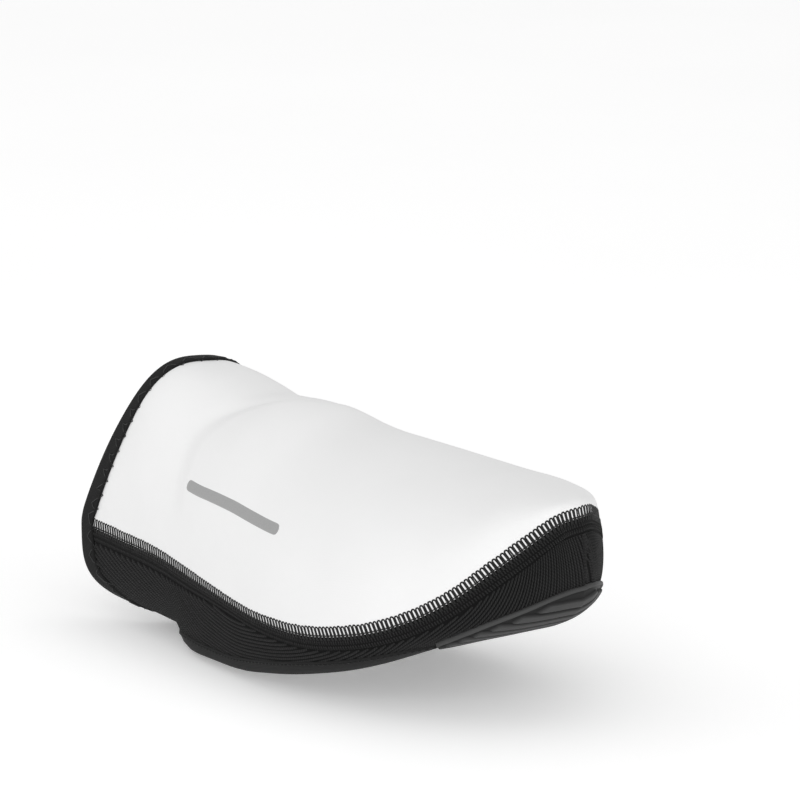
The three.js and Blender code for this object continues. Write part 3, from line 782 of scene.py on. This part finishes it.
bm = bmesh.new()
bend_strips(bm, *tube(loop_points, loop_normals, THREAD, THREAD_FLATNESS))
looper_run = np.arange(SEAM_INSET, SEAM_RUN[-1] - SEAM_INSET, LOOP_PITCH / 2)
looper_height = LOOPER_HEIGHT - LOOPER_DIP * (np.arange(len(looper_run)) % 2)
looper_points = below_seam(looper_run, LOOPER_DEPTH, looper_height)
looper_normals = looper_points - below_seam(looper_run, LOOPER_DEPTH, looper_height - 1)
bend_grid(bm, *tube(looper_points, looper_normals, LOOPER))
close_tubes(bm)
seam_thread = make_piece("seam_thread", bm, thread)


# Below the loops the same seam holds the band flat with short upright stitches, close together.
DASH_PITCH = 1.02
DASH_ROWS = [(4.9, 6.5), (6.7, 8.2)]
DASH_LEAN = 0.12
DASH_HEIGHT = 0.22
DASH_HALF_WIDTH = 0.3
DASH_TOP = 0.3
DASH_SINK = -0.1

bm = bmesh.new()
for row, (top, foot) in enumerate(DASH_ROWS):
    first = SEAM_INSET + row * DASH_PITCH / 2
    middles = np.arange(first, SEAM_RUN[-1] - SEAM_INSET, DASH_PITCH)[:, None]
    depth = np.linspace(top, foot, 4)
    run = middles + DASH_LEAN * (depth - top) + dice.uniform(-0.08, 0.08, middles.shape)
    points = below_seam(run, depth, DASH_HEIGHT)
    normals = points - below_seam(run, depth, DASH_HEIGHT - 1)
    bend_strips(bm, *ridge(points, normals, DASH_HALF_WIDTH, DASH_TOP, DASH_SINK))
strip_stitches = make_piece("strip_stitches", bm, yarn)


# The rear opening is bound with wide elastic tape, folded over the edge of shell and band and sewn
# through with a zigzag, whose tips reach past the tape on to the shell.
REAR_STEPS = 300
REAR_REACH = 1.5
REAR_ROWS = 40
REAR_SMOOTHING = 12
INWARD_ROW = 3
# places round the opening, up to 1 on the outer band, 2 on the shell and 3 on the inner band, and the
# tape's width at each of them
REAR_PLACES = [0, 0.6, 1.0, 1.25, 1.5, 1.75, 2.0, 2.4, 3.0]
REAR_WIDTHS = [7.5, 8.0, 6.6, 4.9, 6.3, 4.9, 6.6, 8.0, 7.5]
REAR_INNER = 4.0
TAPE = 0.8
TAPE_LIFT = 0.15
TAPE_EDGE = 0.3
FOLD_STEPS = 8
TICK_LENGTH = 1.1
TICK_WIDTH = 0.8
ZIGZAG = 3.5
ZIGZAG_IN = 3.0
ZIGZAG_OUT = 0.7
ZIGZAG_HEIGHTS = (1.05, 1.1, 0.15)
ZIGZAG_RADIUS = 0.17
ZIGZAG_TWIST = 0.5


def tape_section(width, inner_width, wall):
    """Closed section of folded tape round a cloth edge: distance in from the edge, and height."""
    top, back = TAPE_LIFT + TAPE, -wall - TAPE_LIFT - TAPE
    middle, radius = (top + back) / 2, (top - back) / 2
    turn = np.linspace(0, np.pi, FOLD_STEPS + 1)
    outside = [(width, TAPE_LIFT + 0.1), (width - 0.05, top - 0.25), (width - TAPE_EDGE, top)]
    outside += [(width * share, top) for share in (0.75, 0.5, 0.25)]
    fold = [(-radius * math.sin(a), middle + radius * math.cos(a)) for a in turn]
    inside = [(inner_width * 0.5, back), (inner_width, back), (inner_width, back + TAPE)]
    inside += [(inner_width * 0.5, back + TAPE), (0, back + TAPE), (-0.25, middle), (0, TAPE_LIFT)]
    inside += [(width * share, TAPE_LIFT) for share in (0.33, 0.67, 1.0)]
    return np.array(outside + fold + inside)


def rear_surface(u, q):
    """The skin round the rear opening: q goes up the outer side, over the shell, and down again."""
    band_side = band_point(u, q < 1.5, np.clip(np.where(q < 1.5, 1 - q, q - 2), 0, 1))
    shell_side = shell_surface(u, np.clip(q - 1, 0, 1))
    return np.where(((q < 1) | (q > 2))[..., None], band_side, shell_side)


def smooth_round(field, passes):
    """Evens out what a closed loop's places hold, along the last but one way of the array."""
    ring = field[..., :-1, :]
    for _ in range(passes):
        ring = ring * 0.5 + (np.roll(ring, 1, axis=-2) + np.roll(ring, -1, axis=-2)) * 0.25
    return np.concatenate([ring, ring[..., :1, :]], axis=-2)


rear_q = np.linspace(0, 3, REAR_STEPS + 1)
rear_edge = rear_surface(np.zeros(REAR_STEPS + 1), rear_q)
rear_edge[[0, -1], 1] = 0
rear_along = unit(np.roll(rear_edge[:-1], -1, axis=0) - np.roll(rear_edge[:-1], 1, axis=0))
rear_along = np.concatenate([rear_along, rear_along[:1]])
rear_u = np.linspace(0, REAR_REACH, REAR_ROWS)
rear_sheet = rear_surface(*np.meshgrid(rear_u, rear_q, indexing="ij"))
rear_sheet = smooth_round(rear_sheet, REAR_SMOOTHING)
rear_off = rear_sheet - rear_sheet[0]
rear_off = rear_off - np.sum(rear_off * rear_along[None], axis=-1, keepdims=True) * rear_along[None]
rear_far = run_length(rear_off.swapaxes(0, 1)).T
inward = unit(rear_off[INWARD_ROW])
rear_up = unit(np.cross(rear_along, inward))
rear_up *= np.sign(np.sum(rear_up * (rear_edge - rear_edge.mean(axis=0)), axis=-1, keepdims=True))
rear_run = run_length(rear_edge)
rear_width = np.interp(rear_q, REAR_PLACES, REAR_WIDTHS)


def rear_tape_point(index, distance, height):
    """A point this far in front of the rear edge and this high off the cloth, at one place round it."""
    place = np.interp(max(distance, 0), rear_far[:, index], np.arange(REAR_ROWS))
    low = min(int(place), REAR_ROWS - 2)
    on_cloth = rear_sheet[low, index] * (low + 1 - place) + rear_sheet[low + 1, index] * (place - low)
    on_cloth = on_cloth if index % REAR_STEPS else on_cloth * np.array([1, 0, 1])
    return on_cloth + rear_up[index] * height + inward[index] * min(distance, 0)


tape = Look("folded_tape", {"Roughness": 0.85, "Specular IOR Level": 0.25})
along, across = tape.cloth_place()
slanted = tape.wave(along / TICK_LENGTH + across / (2 * TICK_WIDTH))
ticks = slanted * tape.wave(across / TICK_WIDTH)
fluff = tape.noise(tape.object_place(), 800.0, 2.0)
tape.paint("Base Color", tape.mix(ticks * 0.7 + fluff * 0.3, grey(0.005), grey(0.012)))
tape.bump(ticks * 0.6 + fluff * 0.4, 0.12 * MM)

bm = bmesh.new()
rear_grid, rear_cloth = [], []
for index in range(REAR_STEPS + 1):
    section = tape_section(rear_width[index], REAR_INNER, BAND_WALL)
    rear_grid.append([rear_tape_point(index % REAR_STEPS, *corner) for corner in section])
    girth = run_length(section)
    rear_cloth.append(np.stack([np.full(len(section), rear_run[index]), girth], axis=-1))
bend_grid(bm, np.array(rear_grid), np.array(rear_cloth))
bmesh.ops.remove_doubles(bm, verts=bm.verts, dist=MERGE_DISTANCE)
bmesh.ops.recalc_face_normals(bm, faces=bm.faces)
opening_tape = make_piece("opening_tape", bm, tape)
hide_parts("opening_binding")

bm = bmesh.new()
zigzag_points, zigzag_normals = [], []
for number, run in enumerate(np.arange(0, rear_run[-1], ZIGZAG / 2)):
    index = int(round(np.interp(run, rear_run, np.arange(REAR_STEPS + 1)))) % REAR_STEPS
    corner = (0, 1, 2, 1)[number % 4]
    distance = rear_width[index] - ZIGZAG_IN + (ZIGZAG_IN + ZIGZAG_OUT) * corner / 2
    zigzag_points.append(rear_tape_point(index, distance, ZIGZAG_HEIGHTS[corner]))
    zigzag_normals.append(rear_up[index])
zigzag = Look("zigzag_thread", {"Roughness": 0.55, "Specular IOR Level": 0.4})
along, across = zigzag.cloth_place()
twist = zigzag.wave(along / ZIGZAG_TWIST + across / (2 * THREAD_TWIST))
zigzag.paint("Base Color", zigzag.mix(twist, grey(0.015), grey(0.04)))
zigzag.bump(twist, 0.05 * MM)
bend_grid(bm, *tube(np.array(zigzag_points), np.array(zigzag_normals), ZIGZAG_RADIUS))
close_tubes(bm)
opening_zigzag = make_piece("opening_zigzag", bm, zigzag)


# The cleat opening is bound with smooth tape of its own, folded over the band's lower edge and sewn on
# with one row of straight stitches near its inner edge.
CLEAT_STEPS = 300
CLEAT_FINE = 1200
CLEAT_WIDTH = 7.0
CLEAT_INNER = 2.6
CLEAT_SMOOTHING = 10
WALK_STEP = 0.25
WALK_MARGIN = 0.5
CORD_PITCH = 0.7
STITCH_INSET = 0.9
STITCH_PITCH = 2.1
STITCH_LENGTH = 1.3
STITCH_HEIGHTS = (0.85, 1.1, 1.1, 0.85)
STITCH_RADIUS = 0.2
STITCH_ROW = 20

cleat_fine = np.linspace(CLEAT_START, ROUND - CLEAT_START, CLEAT_FINE)
fine_rim = band_round(cleat_fine, np.ones(CLEAT_FINE))
fine_run = run_length(fine_rim)
cleat_run = np.linspace(0, fine_run[-1], CLEAT_STEPS + 1)
cleat_t = np.interp(cleat_run, fine_run, cleat_fine)
cleat_edge = band_round(cleat_t, np.ones(CLEAT_STEPS + 1))
cleat_edge[[0, -1], 1] = 0
cleat_along = unit(np.roll(cleat_edge[:-1], -1, axis=0) - np.roll(cleat_edge[:-1], 1, axis=0))
cleat_along = np.concatenate([cleat_along, cleat_along[:1]])

# From each place of the opening's edge a walk goes over the band, square to the edge.
t, w = cleat_t.copy(), np.ones(CLEAT_STEPS + 1)
heading = None
walk_points, walk_normals = [], []
for _ in range(round((CLEAT_WIDTH + WALK_MARGIN) / WALK_STEP) + 1):
    normal = band_normal(t, w)
    on_centre = (np.minimum(t, ROUND - t) < CLEAT_START + 1e-6) & (w > 0.999)
    normal[on_centre, 1] = 0
    normal = unit(normal)
    if heading is None:
        heading = unit(np.cross(cleat_along, normal))
        outwards = cleat_edge - cleat_edge.mean(axis=0)
        heading *= np.sign(np.sum(heading * outwards, axis=-1, keepdims=True))
        cleat_in = heading
    here = band_round(t, w)
    here[on_centre, 1] = 0
    walk_points.append(here)
    walk_normals.append(normal)
    heading = unit(heading - np.sum(heading * normal, axis=-1, keepdims=True) * normal)
    inner_w = np.clip(w, PROBE, 1 - PROBE)
    step_t = (band_round(t + PROBE, inner_w) - band_round(t - PROBE, inner_w)) / (2 * PROBE)
    step_w = (band_round(t, inner_w + PROBE) - band_round(t, inner_w - PROBE)) / (2 * PROBE)
    tt, tw, ww = (np.sum(a * b, axis=-1) for a, b in ((step_t, step_t), (step_t, step_w), (step_w, step_w)))
    th, wh = np.sum(step_t * heading, axis=-1), np.sum(step_w * heading, axis=-1)
    area = tt * ww - tw * tw
    t = np.clip(t + WALK_STEP * (th * ww - wh * tw) / area, 0, ROUND)
    w = np.clip(w + WALK_STEP * (wh * tt - th * tw) / area, 0, 1)
walk_points = smooth_round(np.array(walk_points), CLEAT_SMOOTHING)
walk_normals = unit(smooth_round(np.array(walk_normals), CLEAT_SMOOTHING))
cleat_in = unit(smooth_round(cleat_in, CLEAT_SMOOTHING))


def cleat_tape_point(index, distance, height):
    """A point this far in from the cleat opening's edge and this high off the band."""
    place = min(max(distance, 0) / WALK_STEP, len(walk_points) - 1.001)
    low, share = int(place), place - int(place)
    here = walk_points[low, index] * (1 - share) + walk_points[low + 1, index] * share
    normal = unit(walk_normals[low, index] * (1 - share) + walk_normals[low + 1, index] * share)
    return here + normal * height + cleat_in[index] * min(distance, 0)


smooth_tape = Look("smooth_tape", {"Roughness": 0.7, "Specular IOR Level": 0.25})
_, across = smooth_tape.cloth_place()
cords = smooth_tape.wave(across / CORD_PITCH)
fluff = smooth_tape.noise(smooth_tape.object_place(), 600.0, 2.0)
smooth_tape.paint("Base Color", smooth_tape.mix(cords * 0.5 + fluff * 0.5, grey(0.004), grey(0.009)))
smooth_tape.bump(cords * 0.6 + fluff * 0.4, 0.06 * MM)

bm = bmesh.new()
section = tape_section(CLEAT_WIDTH, CLEAT_INNER, BAND_WALL)
girth = run_length(section)
cleat_grid = [[cleat_tape_point(index % CLEAT_STEPS, *corner) for corner in section]
              for index in range(CLEAT_STEPS + 1)]
cleat_cloth = np.stack(np.broadcast_arrays(cleat_run[:, None], girth[None, :]), axis=-1)
bend_grid(bm, np.array(cleat_grid), cleat_cloth)
bmesh.ops.remove_doubles(bm, verts=bm.verts, dist=MERGE_DISTANCE)
bmesh.ops.recalc_face_normals(bm, faces=bm.faces)
cleat_tape = make_piece("cleat_opening_tape", bm, smooth_tape)
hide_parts("cleat_opening_binding")

stitch_points, stitch_normals = [], []
for start in np.arange(0, cleat_run[-1] - STITCH_LENGTH, STITCH_PITCH):
    stitch_run = np.linspace(start, start + STITCH_LENGTH, len(STITCH_HEIGHTS))
    places = np.interp(stitch_run, cleat_run, np.arange(CLEAT_STEPS + 1))
    points = []
    for place, height in zip(places, STITCH_HEIGHTS):
        low, share = int(place), place - int(place)
        before, after = (cleat_tape_point((low + step) % CLEAT_STEPS, CLEAT_WIDTH - STITCH_INSET, height)
                         for step in (0, 1))
        points.append(before * (1 - share) + after * share)
    stitch_points.append(points)
    stitch_normals.append([walk_normals[STITCH_ROW, int(place) % CLEAT_STEPS] for place in places])

bm = bmesh.new()
bend_strips(bm, *tube(np.array(stitch_points), np.array(stitch_normals), STITCH_RADIUS))
close_tubes(bm)
cleat_stitches = make_piece("cleat_tape_stitches", bm, thread)


# The toe patch is moulded rubber, bonded under the toe against wear: a thin plate with a raised lip round
# its upper edge and ribs that slant across the sole, blunt at their ends.
PATCH_GAP = 0.15
PATCH_BASE = 0.9
PATCH_EDGE = 0.55
PATCH_SINK = 0.3
PATCH_RELIEF = 1.0
PATCH_FLANK = 0.4
PATCH_REACH = 4.65
PATCH_HALF_WIDTH = 55
PATCH_CENTRE = 0.3
PATCH_REAR = 7.7
PATCH_END = 2.4
PATCH_RISE = 27.4
LIP_CURVE = 1.83
LIP_WIDTH = 1.3
LIP_DROP = 0.7
LIP_DROP_REACH = 2.2
PATCH_RIBS = 7
PATCH_PITCH = 3.5
PATCH_SLANT = 0.8
PATCH_RIB_WIDTH = 2.85
PATCH_INSET = 3.2
PATCH_RIB_GAP = 2.6
PATCH_RIB_CUT = 0.6
PATCH_COLUMNS = 190
PATCH_ROWS = 150
EDGE_ROUND = 0.35


def lip_distance(a):
    """How far in front of the cleat opening the patch ends, a stations from the toe tip."""
    share = np.minimum(1, np.abs(a - PATCH_CENTRE) / PATCH_REACH)
    return PATCH_REAR + PATCH_END + PATCH_RISE * (1 - share ** LIP_CURVE)


def plateau(inside):
    """1 on top and 0 outside, with a steep rounded flank: inside is the distance in from the foot."""
    return smooth_step(inside, 0, PATCH_FLANK)


patch_a = PATCH_CENTRE + PATCH_REACH * np.linspace(-1, 1, PATCH_COLUMNS + 1)[:, None]
patch_front = lip_distance(patch_a)
patch_share = np.linspace(0, 1, PATCH_ROWS + 1)[None, :]
patch_distance = PATCH_REAR + (patch_front - PATCH_REAR) * patch_share
to_front = patch_front - patch_distance
to_end = (1 - np.abs(patch_a - PATCH_CENTRE) / PATCH_REACH) * PATCH_HALF_WIDTH
relief = plateau(LIP_WIDTH - to_front)
# The rib before the first one is cut off by the patch's rear edge, except on the inner side.
for rib in range(-1, PATCH_RIBS):
    middle = PATCH_REAR + PATCH_INSET + rib * PATCH_PITCH + PATCH_SLANT * (patch_a - PATCH_CENTRE)
    inside = PATCH_RIB_WIDTH / 2 - np.abs(patch_distance - middle)
    from_lip = patch_front - middle - PATCH_RIB_GAP - (patch_distance - middle) * PATCH_RIB_CUT
    relief = np.maximum(relief, plateau(inside) * plateau(from_lip))
to_side = np.minimum(np.minimum(to_front, patch_distance - PATCH_REAR), to_end)
rounded = PATCH_EDGE + (1 - PATCH_EDGE) * smooth_step(to_side, -0.1, EDGE_ROUND)
lip_drop = LIP_DROP * (1 - smooth_step(to_front, 0, LIP_DROP_REACH))
patch_height = PATCH_GAP + PATCH_BASE * rounded + PATCH_RELIEF * relief - lip_drop
patch_height = np.pad(patch_height, 1, constant_values=PATCH_GAP - PATCH_SINK)
patch_distance = np.pad(patch_distance, 1, mode="edge")
patch_t = np.pad(LAST + patch_a, ((1, 1), (0, 0)), mode="edge")
patch_points = on_band(patch_t, band_length(patch_t) - patch_distance, patch_height)
patch_run = np.broadcast_to(np.interp(patch_t, FINE_T, SEAM_RUN), patch_distance.shape)
# The relief also rides in the cloth places, where the rubber reads it for its painted light and painted
# shade.
patch_relief_shade = np.pad(relief, 1, mode="edge")

rubber = Look("moulded_rubber", {"Roughness": 0.62, "Specular IOR Level": 0.35})
grain = rubber.noise(rubber.object_place(), 1500.0, 2.0)
# The rubber is painted lighter on the tops of the lip and ribs and darker down their flanks and in the
# grooves between them: painted light on the tops and painted shade in the grooves, with a soft cloud through
# the painted light.
_, raised = rubber.cloth_place()
cloud = rubber.noise(rubber.object_place(), 60.0, 3.0)
rubber.paint("Base Color", rubber.mix(raised * (cloud * 0.4 + 0.8), grey(0.002), grey(0.045)))
rubber.bump(grain, 0.03 * MM)

bm = bmesh.new()
bend_grid(bm, patch_points[:, ::-1], np.stack([patch_run, patch_relief_shade], axis=-1)[:, ::-1])
patch = make_piece("toe_patch_rubber", bm, rubber)
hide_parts("toe_patch")


# A plain bar of grey reflective film is pressed on the outer side of the shell, sloping down to the toe.
BAR_START = (4.4, 0.156)
BAR_END = (9.45, 0.168)
BAR_SWAY = 0.0024
BAR_HALF = 2.2
BAR_LIFT = 0.08
BAR_SINK = -0.05
BAR_TIP = 0.02
BAR_COLUMNS = 90
BAR_ROWS = 10

bar_share = np.linspace(0, 1, BAR_COLUMNS + 1)[:, None]
bar_u = BAR_START[0] + (BAR_END[0] - BAR_START[0]) * bar_share
bar_w = BAR_START[1] + (BAR_END[1] - BAR_START[1]) * bar_share - BAR_SWAY * np.sin(2 * np.pi * bar_share)
bar_line = shell_surface(bar_u, bar_w)[:, 0]
bar_run = run_length(bar_line)
w_speed = np.linalg.norm(shell_surface(bar_u, bar_w + PROBE) - shell_surface(bar_u, bar_w), axis=-1) / PROBE
to_bar_end = np.clip(np.minimum(bar_run, bar_run[-1] - bar_run), 0, BAR_HALF)
bar_half = np.sqrt(np.maximum(BAR_HALF ** 2 - (BAR_HALF - to_bar_end) ** 2, BAR_TIP))[:, None]
bar_across = bar_half * np.linspace(-1, 1, BAR_ROWS + 1)[None, :]
bar_lift = np.pad(np.full((BAR_COLUMNS - 1, BAR_ROWS - 1), BAR_LIFT), 1, constant_values=BAR_SINK)
bar_points = shell_surface(np.broadcast_to(bar_u, bar_across.shape), bar_w + bar_across / w_speed, bar_lift)

film = Look("reflective_film", {"Roughness": 0.42, "Specular IOR Level": 0.6})
beads = film.noise(film.object_place(), 2600.0, 2.0)
film.paint("Base Color", film.mix(beads, grey(0.26), grey(0.36)))
film.bump(beads, 0.02 * MM)

bm = bmesh.new()
bend_grid(bm, bar_points, np.stack(np.broadcast_arrays(bar_run[:, None], bar_across), axis=-1))
reflective_bar = make_piece("reflective_bar", bm, film)
